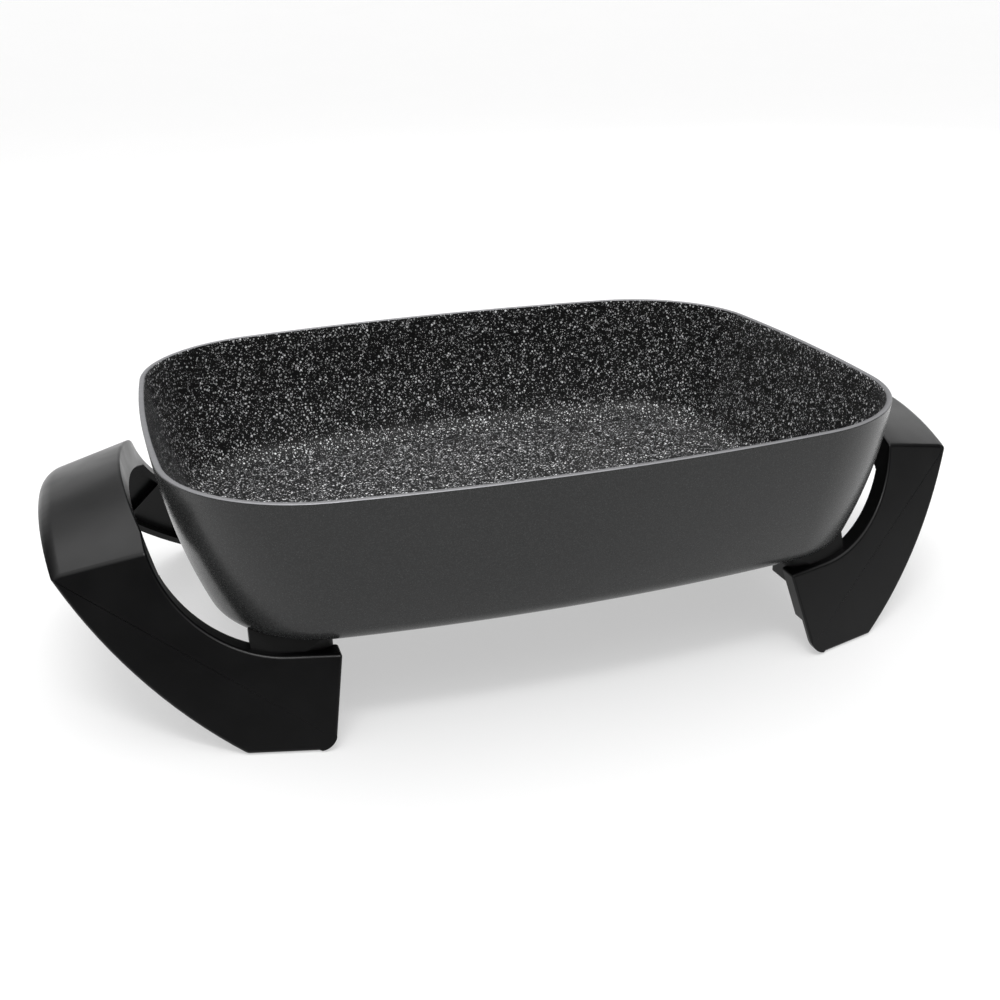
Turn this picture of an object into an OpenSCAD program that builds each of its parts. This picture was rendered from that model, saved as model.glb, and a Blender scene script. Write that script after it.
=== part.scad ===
// Electric skillet: a deep cast pan with bowed sides, carried by two one-piece
// arched mouldings that are handle and legs in one. Millimetres, Z up, X along
// the pan, origin on the table under the middle of the pan.

/* [Pan] */
// Half of the pan's length over the rim
rim_half_l = 203; // [190:1:215]
// Half of the pan's width over the rim
rim_half_w = 161.4; // [150:0.2:170]
// Height of the rim above the table
rim_z = 135.6; // [132:0.2:140]
// Depth of the pan outside, rim to underside
pan_depth = 84.4; // [82:0.1:87]
// Bow radius of the two long sides
long_bow_r = 1036; // [900:4:1400]
// Bow radius of the two short sides
end_bow_r = 998; // [900:4:1400]
// Radius of the corners at the rim
corner_r = 83.4; // [70:0.2:95]
// Thickness of the cast wall
wall = 3; // [2.6:0.1:3.6]
// Thickness of the cast floor
floor_t = 3.6; // [3.2:0.1:4.4]

/* [Handle and leg mouldings] */
// Radius of the big outer sweep from foot to grip
sweep_r = 222; // [216:1:228]
// Radius of the finger opening beside the pan
finger_r = 61; // [58:0.5:63]
// Radius of the arch over the grip, seen from the end
arch_r = 220; // [210:1:230]
// Slope of the grip's top, falling outwards, in degrees
grip_slope = 16.1; // [12:0.1:18]
// Radius of the grip's inner edge in plan
grip_bow_r = 550; // [450:10:700]
// Radius of the grip's rounded outer edge
grip_edge_r = 13; // [10:0.5:15]
// Wall thickness of the moulding
skin = 3.6; // [3:0.1:4]
// Depth of the leg channel behind its face
leg_depth = 10; // [9:0.5:12]
// Depth of the grip channel below its top
grip_depth = 16.5; // [15:0.5:20]

/* [Heating and socket] */
// Diameter of the tubular heating element
element_d = 8; // [7:0.5:8.5]
// Distance between the two terminal pins
pin_gap = 32; // [30:1:36]
// Diameter of a terminal pin
pin_d = 4.8; // [4:0.2:5.4]
// Bore of the temperature probe's well
well_bore = 7.2; // [6.4:0.2:7.6]

/* [Feet] */
// Diameter of the rubber feet
foot_d = 15.6; // [12:0.2:16]
// How far a foot stands out under its leg
foot_proud = 0.8; // [0.6:0.1:1.2]

/* [Hidden] */
$fn = 96;
far = 400;                        // longer than any piece, for cutting blocks
over_all_z = 200;                 // above the whole skillet

charcoal = [0.24, 0.25, 0.25];
phenolic = [0.10, 0.10, 0.11];
steel = [0.62, 0.62, 0.60];
rubber = [0.06, 0.06, 0.06];
ceramic = [0.88, 0.86, 0.80];
brass = [0.72, 0.60, 0.34];

// ---- pan outline: four bowed sides joined by tangent corner arcs ----
bottom_z = rim_z - pan_depth;
long_c = [0, rim_half_w - long_bow_r];
end_c = [rim_half_l - end_bow_r, 0];
c_dist = norm(end_c - long_c);
long_d = long_bow_r - corner_r;
end_d = end_bow_r - corner_r;
c_along = (long_d * long_d - end_d * end_d + c_dist * c_dist) / (2 * c_dist);
c_off = sqrt(long_d * long_d - c_along * c_along);
c_dir = (end_c - long_c) / c_dist;
corner_c = long_c + c_along * c_dir + c_off * [c_dir[1], -c_dir[0]];
end_angle = atan2(corner_c[1] - end_c[1], corner_c[0] - end_c[0]);
long_angle = atan2(corner_c[1] - long_c[1], corner_c[0] - long_c[0]);
end_steps = 4;
corner_steps = 13;
long_steps = 5;

function on_arc(c, r, a) = c + r * [cos(a), sin(a)];
function arc_points(c, r, a0, a1, n) = [for (i = [0:n - 1]) on_arc(c, r, a0 + (a1 - a0) * i / n)];
function quarter(d) = concat(
    arc_points(end_c, end_bow_r - d, 0, end_angle, end_steps),
    arc_points(corner_c, corner_r - d, end_angle, long_angle, corner_steps),
    arc_points(long_c, long_bow_r - d, long_angle, 90, long_steps));
top_point = [0, rim_half_w];
quarter_n = end_steps + corner_steps + long_steps;
loop_n = 4 * quarter_n;
// One closed loop of the pan, inset by d and at height z
function loop(d, z) =
    let (q = quarter(d), far_y = top_point - [0, d],
         half = concat(q, [far_y], [for (i = [quarter_n - 1:-1:1]) [-q[i][0], q[i][1]]]),
         both = concat(half, [for (p = half) -p]))
    [for (p = both) [p[0], p[1], z]];

// ---- pan wall: a slight draft that bows in, then a rounded bottom edge ----
draft = 0.09;
bow = 0.0021;
outer_wall_end = 74.4;
inner_wall_end = 69;
rim_round = 0.8;                  // round on the rim's outer edge
rim_turn = rim_round * (1 - cos(45));
rim_break = 0.4;                  // chamfer on the rim's inner edge
wall_steps = 5;
edge_steps = 6;
function wall_in(depth) = draft * depth + bow * depth * depth;
function wall_lean(depth) = atan(draft + 2 * bow * depth);
function edge_r(depth, wall_end) = (depth - wall_end) / (1 - sin(wall_lean(wall_end)));
// Rings of [inset, height] from the rim down to the flat, for a skin at inset t
function wall_rings(t, depth, wall_end) =
    let (lean = wall_lean(wall_end), r = edge_r(depth, wall_end),
         c_in = t + wall_in(wall_end) + r * cos(lean))
    concat(
        [for (k = [1:wall_steps]) let (d = wall_end * k / wall_steps) [t + wall_in(d), rim_z - d]],
        [for (k = [1:edge_steps]) let (a = lean + (90 - lean) * k / edge_steps)
            [c_in - r * cos(a), rim_z - depth + r - r * sin(a)]]);
outer_rings = concat([[rim_turn, rim_z - rim_turn], [0, rim_z - rim_round]],
                     wall_rings(0, pan_depth, outer_wall_end));
inner_rings = concat([[wall - rim_break, rim_z], [wall, rim_z - rim_break]],
                     wall_rings(wall, pan_depth - floor_t, inner_wall_end));
function reversed(v) = [for (i = [len(v) - 1:-1:0]) v[i]];
shell_rings = concat(reversed(outer_rings), [[rim_round, rim_z]], inner_rings);
shell_points = [for (ring = shell_rings) each loop(ring[0], ring[1])];
ring_n = len(shell_rings);
shell_faces = concat(
    [[for (i = [0:loop_n - 1]) i]],
    [for (k = [0:ring_n - 2], i = [0:loop_n - 1]) each
        let (a = k * loop_n + i, b = k * loop_n + (i + 1) % loop_n)
        [[a, a + loop_n, b], [b, a + loop_n, b + loop_n]]],
    [[for (i = [loop_n - 1:-1:0]) (ring_n - 1) * loop_n + i]]);

// ---- where the legs meet the pan ----
leg_x = 139;
leg_y = 109;
leg_top_z = 45;
tab_t = 9;
tab_half_l = 11.5;
tab_back = 8;                     // from the boss's middle inwards
tab_reach = 26;                   // from the boss's middle out into the leg's face
boss_d = 13;
boss_root = 1.4;                  // how far a boss runs up into the cast floor
boss_gap = 0.15;
leg_pilot_r = 2.15;
leg_screw_l = 11;
pilot_end_z = bottom_z + 1.7;
leg_screw_head = [9.6, 3.6];      // diameter and height, as for the other screws
pad_corner_r = 4;                 // corners of the tabs and of the heat spacers
washer_t = 1.2;
washer_d = 17;
washer_hole_d = 5.2;
screw_play = 0.05;

// ---- heating element loop ----
loop_x = 125;
loop_y = 75;
loop_r = 45;
lead_bend_r = 12;
lead_y = pin_gap / 2;
element_z = bottom_z - element_d / 2;
socket_z = 40;
sheath_end_x = 172;
insulator_end_x = 179;
pin_end_x = 192;
pin_stem_d = 3.4;
pin_tip = 1.2;
channel_rib_t = 3;
channel_rib_h = 5;
channel_gap = 0.1;
channel_mouth = 4 * lead_y;       // gap in the ribs where the leads come out
cast_overlap = 0.8;               // how far ribs and saddle run into the cast floor
lead_drop_x = [143, 160];         // the leads drop to the socket between these
lead_ease = 0.22;                 // shares of the drop, in height and in length,
lead_bend = 0.3;                  // that each rounded end of it takes

// ---- temperature probe's well and the socket guard ----
well_d = 10;
well_x = [112, 196];
well_end_t = 4;
saddle_w = 16;
saddle_x = [104, 145];
guard_x = [148, 206];
guard_half_w = 31;
guard_z = [26, 54];
guard_t = 2.5;
guard_roof_x = 181;
guard_r = 5;
lug_x = 158;
lug_y = 38;
lug_r = 6;
lug_top_z = 46.5;
lug_t = 3;
lug_pilot_r = 1.7;
lug_hole_r = 2.2;
lug_screw_head = [7.6, 2.6];
lug_screw_l = 7;
entry_gap = 0.5;                  // round the leads and the probe's well, where they enter

module cast_bosses() {
    for (sx = [-1, 1], sy = [-1, 1])
        translate([sx * leg_x, sy * leg_y, leg_top_z - tab_t + boss_gap])
            cylinder(d = boss_d, h = bottom_z + boss_root - leg_top_z + tab_t - boss_gap);
    for (sy = [-1, 1])
        translate([lug_x, sy * lug_y, lug_top_z])
            cylinder(r = lug_r - 1, h = bottom_z + boss_root - lug_top_z);
}

module pilot_holes() {
    for (sx = [-1, 1], sy = [-1, 1])
        translate([sx * leg_x, sy * leg_y, leg_top_z - tab_t - 1])
            cylinder(r = leg_pilot_r, h = pilot_end_z - leg_top_z + tab_t + 1);
    for (sy = [-1, 1])
        translate([lug_x, sy * lug_y, lug_top_z - 1])
            cylinder(r = lug_pilot_r, h = pilot_end_z - lug_top_z + 1);
}

module rounded_rect(hx, hy, r) {
    square([2 * (hx - r), 2 * hy], center = true);
    square([2 * hx, 2 * (hy - r)], center = true);
    for (sx = [-1, 1], sy = [-1, 1])
        translate([sx * (hx - r), sy * (hy - r)])
            circle(r = r);
}

// Two ribs that hold the element between them, open where its leads come out
module channel_ribs() {
    near = element_d / 2 + channel_gap;
    wide = near + channel_rib_t;
    translate([0, 0, bottom_z - channel_rib_h])
        linear_extrude(channel_rib_h + cast_overlap)
            difference() {
                rounded_rect(loop_x + wide, loop_y + wide, loop_r + wide);
                difference() {
                    rounded_rect(loop_x + near, loop_y + near, loop_r + near);
                    rounded_rect(loop_x - near, loop_y - near, loop_r - near);
                }
                rounded_rect(loop_x - wide, loop_y - wide, loop_r - wide);
                translate([loop_x - wide - loop_r, -channel_mouth / 2])
                    square([far, channel_mouth]);
            }
}

module probe_saddle() {
    translate([saddle_x[0], -saddle_w / 2, socket_z])
        cube([saddle_x[1] - saddle_x[0], saddle_w, bottom_z - socket_z + cast_overlap]);
    translate([saddle_x[0], 0, socket_z])
        rotate([0, 90, 0])
            cylinder(d = saddle_w, h = saddle_x[1] - saddle_x[0]);
}

module pan() {
    color(charcoal)
        difference() {
            union() {
                polyhedron(points = shell_points, faces = shell_faces);
                cast_bosses();
                channel_ribs();
                probe_saddle();
            }
            pilot_holes();
            translate([well_x[0], 0, socket_z])
                rotate([0, 90, 0])
                    cylinder(d = well_d, h = far);
        }
}

// ---- element: one tube swept along lines and bends, leads dropping to the socket ----
function bend(c, r, a0, a1, n) = [for (i = [0:n]) concat(on_arc(c, r, a0 + (a1 - a0) * i / n), element_z)];
lead_in = lead_ease * (element_z - socket_z);
lead_run = lead_bend * (lead_drop_x[1] - lead_drop_x[0]);
function lead(s) = [
    [sheath_end_x, s * lead_y, socket_z],
    [lead_drop_x[1], s * lead_y, socket_z],
    [lead_drop_x[1] - lead_run, s * lead_y, socket_z + lead_in],
    [lead_drop_x[0] + lead_run, s * lead_y, element_z - lead_in],
    [lead_drop_x[0], s * lead_y, element_z]];
bend_c = loop_y - loop_r;
element_path = concat(
    lead(-1),
    bend([loop_x + lead_bend_r, -lead_y - lead_bend_r], lead_bend_r, 90, 180, 5),
    bend([loop_x - loop_r, -bend_c], loop_r, 0, -90, 8),
    bend([-loop_x + loop_r, -bend_c], loop_r, 270, 180, 8),
    bend([-loop_x + loop_r, bend_c], loop_r, 180, 90, 8),
    bend([loop_x - loop_r, bend_c], loop_r, 90, 0, 8),
    bend([loop_x + lead_bend_r, lead_y + lead_bend_r], lead_bend_r, 180, 270, 5),
    reversed(lead(1)));

function unit(v) = v / norm(v);
function heading(path, i) = unit(path[min(i + 1, len(path) - 1)] - path[max(i - 1, 0)]);
function tube_ring(path, i, r, n) =
    let (t = heading(path, i), side = unit(cross([0, 0, 1], t)), up = cross(t, side))
    [for (k = [0:n - 1]) path[i] + r * (cos(360 * k / n) * side + sin(360 * k / n) * up)];

module tube(path, r, n) {
    count = len(path);
    polyhedron(
        points = [for (i = [0:count - 1]) each tube_ring(path, i, r, n)],
        faces = concat(
            [[for (k = [0:n - 1]) k]],
            [for (i = [0:count - 2], k = [0:n - 1]) each
                let (a = i * n + k, b = i * n + (k + 1) % n)
                [[a, a + n, b], [b, a + n, b + n]]],
            [[for (k = [n - 1:-1:0]) (count - 1) * n + k]]));
}

module heating_element() {
    color(steel)
        tube(element_path, element_d / 2, 16);
}

// Ceramic bead that keeps a pin clear of the sheath: a barrel with one collar
module terminal_insulator(s) {
    length = insulator_end_x - sheath_end_x;
    collar_t = 2.4;
    collar_proud = 0.8;
    color(ceramic)
        translate([sheath_end_x, s * lead_y, socket_z])
            rotate([0, 90, 0])
                difference() {
                    union() {
                        cylinder(d = element_d - 1, h = length);
                        cylinder(d = element_d, h = collar_t);
                        translate([0, 0, collar_t])
                            cylinder(d = element_d + 2 * collar_proud, h = collar_t);
                    }
                    translate([0, 0, -1])
                        cylinder(d = pin_stem_d, h = length + 2);
                }
}

// Terminal pin: a thin stem through the bead, then the contact with a tapered tip
module terminal_pin(s) {
    stem = insulator_end_x - sheath_end_x;
    color(steel)
        translate([sheath_end_x, s * lead_y, socket_z])
            rotate([0, 90, 0]) {
                cylinder(d = pin_stem_d, h = stem + 1);
                translate([0, 0, stem])
                    cylinder(d = pin_d, h = pin_end_x - insulator_end_x);
                translate([0, 0, pin_end_x - sheath_end_x])
                    cylinder(d1 = pin_d, d2 = pin_d - 2 * pin_tip, h = pin_tip);
            }
}

module probe_well() {
    color(brass)
        translate([well_x[0], 0, socket_z])
            rotate([0, 90, 0])
                difference() {
                    cylinder(d = well_d, h = well_x[1] - well_x[0]);
                    translate([0, 0, well_end_t])
                        cylinder(d = well_bore, h = far);
                }
}

// ---- guard round the terminals, open to the end of the skillet ----
module guard_section(t) {
    hy = guard_half_w - t;
    z0 = guard_z[0] + t;
    z1 = guard_z[1] - t;
    translate([(z0 + z1) / 2, 0])
        rounded_rect((z1 - z0) / 2, hy, guard_r - t);
}

module along_x(x0, x1) {
    translate([x0, 0, 0])
        rotate([0, 90, 0])
            mirror([1, 0, 0])
                linear_extrude(x1 - x0)
                    children();
}

module socket_guard() {
    lug_reach = lug_y - guard_half_w + 1;
    lead_slot_r = element_d / 2 + entry_gap;
    color(phenolic)
        difference() {
            union() {
                difference() {
                    along_x(guard_x[0], guard_x[1])
                        guard_section(0);
                    along_x(guard_x[0] + guard_t, guard_x[1] + 1)
                        guard_section(guard_t);
                }
                for (s = [-1, 1]) {
                    translate([lug_x, s * lug_y, lug_top_z - lug_t])
                        cylinder(r = lug_r, h = lug_t);
                    translate([lug_x - lug_r, s < 0 ? -lug_y : guard_half_w - 1, lug_top_z - lug_t])
                        cube([2 * lug_r, lug_reach, lug_t]);
                }
            }
            // the pan's underside and rounded edge sit over this part of the roof
            translate([guard_x[0] - 1, -far / 2, bottom_z - 0.2])
                cube([guard_roof_x - guard_x[0] + 1, far, far]);
            for (s = [-1, 1]) {
                translate([guard_x[0] - 1, s * lead_y, socket_z - 1])
                    rotate([0, 90, 0])
                        cylinder(r = lead_slot_r, h = guard_t + 2);
                translate([guard_x[0] - 1, s * lead_y - lead_slot_r, socket_z - 1])
                    cube([guard_t + 2, 2 * lead_slot_r, far]);
                translate([lug_x, s * lug_y, 0])
                    cylinder(r = lug_hole_r, h = far);
            }
            translate([guard_x[0] - 1, 0, socket_z])
                rotate([0, 90, 0])
                    cylinder(r = well_d / 2 + entry_gap, h = guard_t + 2);
        }
}

// A pan-head screw standing head down, its bearing face at z = 0
module screw(head, shank_r, shank_l) {
    head_d = head[0];
    head_h = head[1];
    rim_h = 0.6 * head_h;
    top_d = 0.72 * head_d;
    slot_l = 0.6 * head_d;
    slot_w = 0.12 * head_d;
    difference() {
        union() {
            translate([0, 0, -rim_h])
                cylinder(d = head_d, h = rim_h);
            translate([0, 0, -head_h])
                cylinder(d1 = top_d, d2 = head_d, h = head_h - rim_h);
            cylinder(r = shank_r, h = shank_l);
        }
        for (a = [0, 90])
            rotate([0, 0, a])
                translate([-slot_l / 2, -slot_w / 2, -head_h - 1])
                    cube([slot_l, slot_w, 1 + head_h / 2]);
    }
}

module socket_guard_screws() {
    color(steel)
        for (s = [-1, 1])
            translate([lug_x, s * lug_y, lug_top_z - lug_t])
                screw(lug_screw_head, lug_pilot_r - screw_play, lug_screw_l);
}

// ---- handle and leg moulding, drawn for the right-hand end ----
// Its outline in side view is a ring between the big outer sweep and the finger
// opening. Two leaning planes cut its faces, and an arch closes it over the grip.
sweep_c = [60.7, 190.7];
finger_c = [149.5, leg_top_z + finger_r];
grip_in_x = 210.5;
arch_x = 208;
arch_z = 114.1;
grip_end = 61;                    // along the crest, from the arch's inner end to the grip's outer edge
face_n = [0.2746, -1, 0.394];
face_reach = 181.9;
end_top = [124.4, leg_top_z];
end_low = [131.6, 10.3];
foot_corner_r = 10;
bow_top_x = 217.5;
bow_tilt = 10.2;
bow_low_z = 80;
pad_t = 6.5;
foot_x = 161;
foot_y = 126.4;
foot_h = 3.8;
foot_wall = 2.2;
pad_x = 150;
end_wall_low_z = 19;              // the leg's inner end is open below this height

end_dir = unit(end_low - end_top);
end_n = [end_dir[1], -end_dir[0]];

// Point on the end line, inset by i, at height z
function end_at(z, i) = let (p = end_top - i * end_n) p + end_dir * (z - p[1]) / end_dir[1];

// Takes the sharp corner p off, between edges leaving along e1 and e2
module round_off(p, e1, e2, r) {
    half = acos(e1 * e2) / 2;
    reach = r / tan(half);
    c = p + unit(e1 + e2) * r / sin(half);
    difference() {
        polygon([p - 0.5 * unit(e1 + e2), p + e1 * reach, c, p + e2 * reach]);
        translate(c)
            circle(r = r);
    }
}

// Side outline (x, z), inset by i, with its lowest line at z0
module handle_outline(i, z0) {
    low = end_at(z0, i);
    difference() {
        intersection() {
            translate(sweep_c)
                circle(r = sweep_r - i, $fn = 360);
            polygon([end_at(over_all_z, i), low, [far, z0], [far, over_all_z]]);
        }
        round_off(low, -end_dir, [1, 0], max(foot_corner_r - i, 1));
        translate(finger_c)
            circle(r = finger_r + i, $fn = 180);
        translate([0, leg_top_z - i])
            square([finger_c[0], far]);
        translate([0, finger_c[1]])
            square([grip_in_x + i, far]);
    }
}

// Everything behind one leaning face, at depth i
module behind_face(i) {
    azimuth = atan2(face_n[1], face_n[0]);
    polar = acos(face_n[2] / norm(face_n));
    rotate([0, polar, azimuth])
        translate([-far, -far, face_reach / norm(face_n) - i - far])
            cube([2 * far, 2 * far, far]);
}

module between_faces(i) {
    intersection() {
        behind_face(i);
        mirror([0, 1, 0])
            behind_face(i);
    }
}

// Children stand on the arch's sloping axis, z = 0 where its crest starts
module on_arch_axis() {
    translate([arch_x, 0, arch_z])
        rotate([0, grip_slope, 0])
            translate([0, 0, -arch_r])
                rotate([0, 90, 0])
                    children();
}

module under_arch(i) {
    on_arch_axis()
        translate([0, 0, -far / 2])
            cylinder(r = arch_r - i, h = far, $fn = 360);
}

// The same with the grip's outer edge rounded over
module under_rounded_arch(i) {
    r = arch_r - i;
    end = grip_end - i;
    edge_r = grip_edge_r - i;
    on_arch_axis()
        rotate_extrude($fn = 360) {
            translate([0, -far / 2])
                square([r, far / 2 + end - edge_r]);
            translate([0, -far / 2])
                square([r - edge_r, far / 2 + end]);
            translate([r - edge_r, end - edge_r])
                circle(r = edge_r);
        }
}

// The hollow that lets the grip's inner edge run clear of the pan in the middle
module finger_bow(i) {
    intersection() {
        translate([bow_top_x, 0, arch_z])
            rotate([0, bow_tilt, 0])
                translate([-grip_bow_r, 0, -far / 2])
                    rotate([0, 0, 90])
                        cylinder(r = grip_bow_r + i, h = far, $fn = 360);
        translate([0, -far / 2, bow_low_z - i])
            cube([far, far, far]);
    }
}

module handle_form(i, z0) {
    difference() {
        intersection() {
            rotate([90, 0, 0])
                translate([0, 0, -far / 2])
                    linear_extrude(far)
                        handle_outline(i, z0);
            between_faces(i);
            under_rounded_arch(i);
        }
        finger_bow(i);
    }
}

// The open arch between the legs and under the grip
module passage(leg, grip) {
    intersection() {
        between_faces(leg);
        under_arch(grip);
    }
}

post_x = 238;
post_y = 38;
post_d = 9;
post_pilot_r = 1.3;
grip_screw_head = [6, 2];
grip_screw_l = 9;
cover_t = 2.4;
cover_fit = 0.3;
cover_end_gap = 4;
cover_hole_r = 1.8;
rib_t = 2.4;
rib_angles = [-20, -44, -68];
rib_set_back = 1.5;
rib_top_z = 78;                   // leg ribs below this height, grip webs and posts above
web_drop = 8;

// Ribs inside the channel: fan ribs in the legs, webs and screw posts in the grip
module stiffeners() {
    difference() {
        for (a = rib_angles)
            translate([finger_c[0], 0, finger_c[1]])
                rotate([0, -a, 0])
                    translate([finger_r, -far / 2, -rib_t / 2])
                        cube([far, far, rib_t]);
        passage(leg_depth - rib_set_back, grip_depth - rib_set_back);
        translate([0, -far / 2, rib_top_z])
            cube([far, far, far]);
    }
    difference() {
        for (s = [-1, 1])
            translate([finger_c[0], s * post_y - rib_t / 2, rib_top_z])
                cube([far, rib_t, far]);
        under_arch(skin + web_drop);
    }
    difference() {
        for (s = [-1, 1])
            translate([post_x, s * post_y, rib_top_z])
                cylinder(d = post_d, h = far);
        under_arch(grip_depth - cover_t);
    }
}

// Screw tab behind the top of each leg, under the pan
module leg_tabs() {
    for (s = [-1, 1])
        translate([leg_x, s * (leg_y + (tab_reach - tab_back) / 2), leg_top_z - tab_t])
            linear_extrude(tab_t)
                rounded_rect(tab_half_l, (tab_reach + tab_back) / 2, pad_corner_r);
}

// Rounded pads that take the rubber feet, wider than the leg's channel
module foot_pads() {
    for (s = [-1, 1])
        translate([foot_x, s * foot_y, foot_proud])
            cylinder(d = foot_d + 2 * foot_wall, h = pad_t);
}

module handle_moulding() {
    difference() {
        union() {
            difference() {
                handle_form(0, foot_proud);
                difference() {
                    handle_form(skin, foot_proud + pad_t);
                    stiffeners();
                }
                passage(leg_depth, grip_depth);
                intersection() {
                    between_faces(skin);
                    translate([0, -far / 2, -1])
                        cube([pad_x, far, end_wall_low_z + 1]);
                }
            }
            intersection() {
                between_faces(skin / 2);
                union() {
                    leg_tabs();
                    foot_pads();
                }
            }
        }
        for (s = [-1, 1]) {
            translate([leg_x, s * leg_y, 0])
                cylinder(d = boss_d + 2 * boss_gap, h = far);
            translate([foot_x, s * foot_y, -1])
                cylinder(d = foot_d, h = foot_h + 1);
            translate([post_x, s * post_y, 0])
                cylinder(r = post_pilot_r, h = cover_low_z + grip_screw_l);
        }
    }
}

module grip_cover_form() {
    color(phenolic)
        difference() {
            intersection() {
                handle_form(skin + cover_fit, 0);
                between_faces(leg_depth + cover_end_gap);
            }
            passage(0, grip_depth);
            difference() {
                translate([0, -far / 2, 0])
                    cube([far, far, far]);
                under_arch(grip_depth - cover_t);
            }
            for (s = [-1, 1])
                translate([post_x, s * post_y, 0])
                    cylinder(r = cover_hole_r, h = far);
        }
}

// Height of the cover's underside over a screw post
cover_low_z = arch_z - (post_x - arch_x) * tan(grip_slope)
            - (arch_r - sqrt(pow(arch_r - grip_depth, 2) - post_y * post_y)) / cos(grip_slope);

module grip_screw_pair() {
    color(steel)
        for (s = [-1, 1])
            translate([post_x, s * post_y, cover_low_z - 1])
                screw(grip_screw_head, post_pilot_r - screw_play, grip_screw_l);
}

// The pan's rounded bottom corner as a turned form, grown by a gap
module pan_corner(gap) {
    lean = wall_lean(outer_wall_end);
    r = edge_r(pan_depth, outer_wall_end);
    flat_r = corner_r - wall_in(outer_wall_end) - r * cos(lean);
    translate([corner_c[0], corner_c[1], bottom_z])
        rotate_extrude() {
            translate([0, -gap])
                square([flat_r, 2 * r]);
            translate([flat_r, r])
                circle(r = r + gap);
        }
}

spacer_x = [127, 167];
spacer_reach = 12;                // from the boss's middle outwards
spacer_y = [leg_y - tab_back, leg_y + spacer_reach];
spacer_h = 12;
spacer_set_back = 4;

// Pad on a leg's top, hollowed to cradle the pan's rounded corner
module heat_spacer(sy) {
    color(phenolic)
        mirror([0, sy < 0 ? 1 : 0, 0])
            difference() {
                intersection() {
                    translate([0, 0, leg_top_z])
                        linear_extrude(spacer_h)
                            translate([spacer_x[0] + spacer_x[1], spacer_y[0] + spacer_y[1]] / 2)
                                rounded_rect((spacer_x[1] - spacer_x[0]) / 2,
                                             (spacer_y[1] - spacer_y[0]) / 2, pad_corner_r);
                    between_faces(spacer_set_back);
                    translate([finger_c[0], far / 2, finger_c[1]])
                        rotate([90, 0, 0]) {
                            cylinder(r = finger_r, h = far, $fn = 180);
                            translate([-far / 2, -finger_r, 0])
                                cube([far / 2, far, far]);
                        }
                }
                pan_corner(boss_gap);
                translate([leg_x, leg_y, 0])
                    cylinder(d = boss_d + 2 * boss_gap, h = far);
            }
}

module leg_washers() {
    color(steel)
        for (sx = [-1, 1], sy = [-1, 1])
            translate([sx * leg_x, sy * leg_y, leg_top_z - tab_t - washer_t])
                difference() {
                    cylinder(d = washer_d, h = washer_t);
                    translate([0, 0, -1])
                        cylinder(d = washer_hole_d, h = washer_t + 2);
                }
}

module leg_screws() {
    color(steel)
        for (sx = [-1, 1], sy = [-1, 1])
            translate([sx * leg_x, sy * leg_y, leg_top_z - tab_t - washer_t])
                screw(leg_screw_head, leg_pilot_r - screw_play, leg_screw_l);
}

// Rubber foot, pushed into the pad under its leg
module foot(sy) {
    color(rubber)
        translate([foot_x, sy * foot_y, 0]) {
            cylinder(d1 = foot_d - 2 * foot_proud, d2 = foot_d, h = foot_proud);
            translate([0, 0, foot_proud])
                cylinder(d = foot_d, h = foot_h - foot_proud);
        }
}

module at_left() {
    mirror([1, 0, 0])
        children();
}

module right_handle() { color(phenolic) handle_moulding(); }
module left_handle() { at_left() right_handle(); }
module right_grip_cover() { grip_cover_form(); }
module left_grip_cover() { at_left() grip_cover_form(); }
module right_grip_screws() { grip_screw_pair(); }
module left_grip_screws() { at_left() grip_screw_pair(); }
module right_front_heat_spacer() { heat_spacer(-1); }
module right_rear_heat_spacer() { heat_spacer(1); }
module left_front_heat_spacer() { at_left() heat_spacer(-1); }
module left_rear_heat_spacer() { at_left() heat_spacer(1); }
module right_front_foot() { foot(-1); }
module right_rear_foot() { foot(1); }
module left_front_foot() { at_left() foot(-1); }
module left_rear_foot() { at_left() foot(1); }

pan();
heating_element();
terminal_insulator(-1);  // front_terminal_insulator
terminal_insulator(1);  // rear_terminal_insulator
terminal_pin(-1);  // front_terminal_pin
terminal_pin(1);  // rear_terminal_pin
probe_well();
socket_guard();
socket_guard_screws();
right_handle();
left_handle();
right_grip_cover();
left_grip_cover();
right_grip_screws();
left_grip_screws();
right_front_heat_spacer();
right_rear_heat_spacer();
left_front_heat_spacer();
left_rear_heat_spacer();
leg_washers();
leg_screws();
right_front_foot();
right_rear_foot();
left_front_foot();
left_rear_foot();
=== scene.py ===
# %% [markdown]
# # An electric skillet
#
# A deep cast pan with bowed sides sits between two black mouldings, each of them
# a handle and two legs in one piece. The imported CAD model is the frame: it gives
# every size and place. This notebook dresses it, piece by piece, in metres.

# %% Load the frame
from math import atan, atan2, cos, pi, radians, sin, sqrt

import bmesh
import bpy
import numpy as np
from mathutils import Matrix, Vector


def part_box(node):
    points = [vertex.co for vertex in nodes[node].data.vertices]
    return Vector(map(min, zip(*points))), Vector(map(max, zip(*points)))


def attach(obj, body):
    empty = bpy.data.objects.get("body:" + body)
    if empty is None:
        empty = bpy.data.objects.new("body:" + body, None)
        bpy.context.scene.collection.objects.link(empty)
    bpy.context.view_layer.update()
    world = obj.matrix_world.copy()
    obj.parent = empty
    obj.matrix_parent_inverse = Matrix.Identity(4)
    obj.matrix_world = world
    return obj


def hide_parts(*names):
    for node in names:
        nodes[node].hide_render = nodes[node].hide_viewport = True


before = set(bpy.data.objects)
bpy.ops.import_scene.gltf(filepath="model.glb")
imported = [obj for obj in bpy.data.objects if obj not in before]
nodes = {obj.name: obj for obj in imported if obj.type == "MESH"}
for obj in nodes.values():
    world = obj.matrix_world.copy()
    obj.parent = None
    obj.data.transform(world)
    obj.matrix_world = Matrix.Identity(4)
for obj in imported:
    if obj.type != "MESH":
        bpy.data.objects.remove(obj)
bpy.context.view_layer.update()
print("CAD nodes:", len(nodes))

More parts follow.
